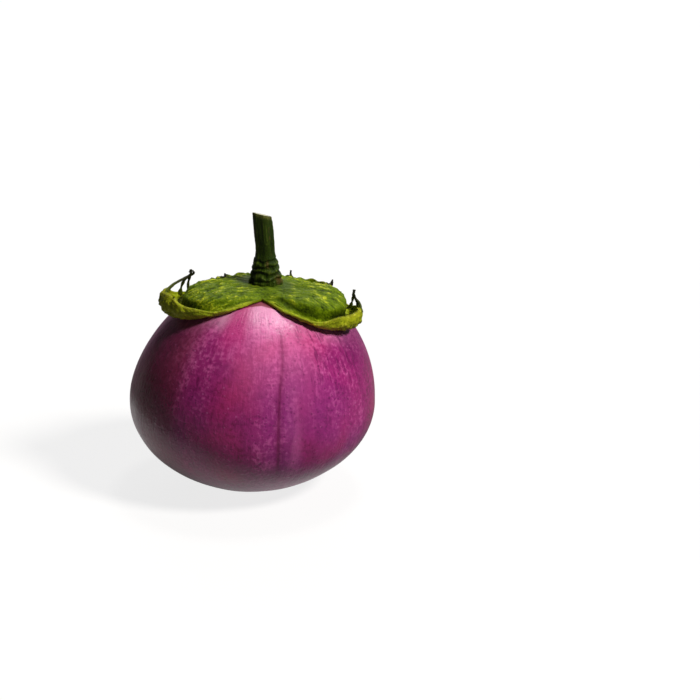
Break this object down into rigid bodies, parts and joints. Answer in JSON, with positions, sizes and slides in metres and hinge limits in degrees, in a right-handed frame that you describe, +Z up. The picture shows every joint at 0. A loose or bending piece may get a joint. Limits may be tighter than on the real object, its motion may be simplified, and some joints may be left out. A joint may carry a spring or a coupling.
{
  "type": "eggplant",
  "caption": "Round, squat eggplant with glossy magenta-purple skin, a leathery green calyx whose curled lobes clasp the shoulder, and a short cut stem; it stands on a small flat spot.",
  "frame": {"origin": "on the surface it rests on, under the middle of the part's outline as seen from above", "axes": "+Z up, from the resting spot to the stem; -Y towards the side the picture shows; +X to that side's right"},
  "size_m": [0.1202, 0.1186, 0.1368],
  "materials": {
    "skin": "glossy",
    "calyx": "matt",
    "stem": "matt"
  },
  "bodies": {
    "root": {"fruit": "skin", "calyx": "calyx", "stem": "stem"}
  },
  "joints": []
}
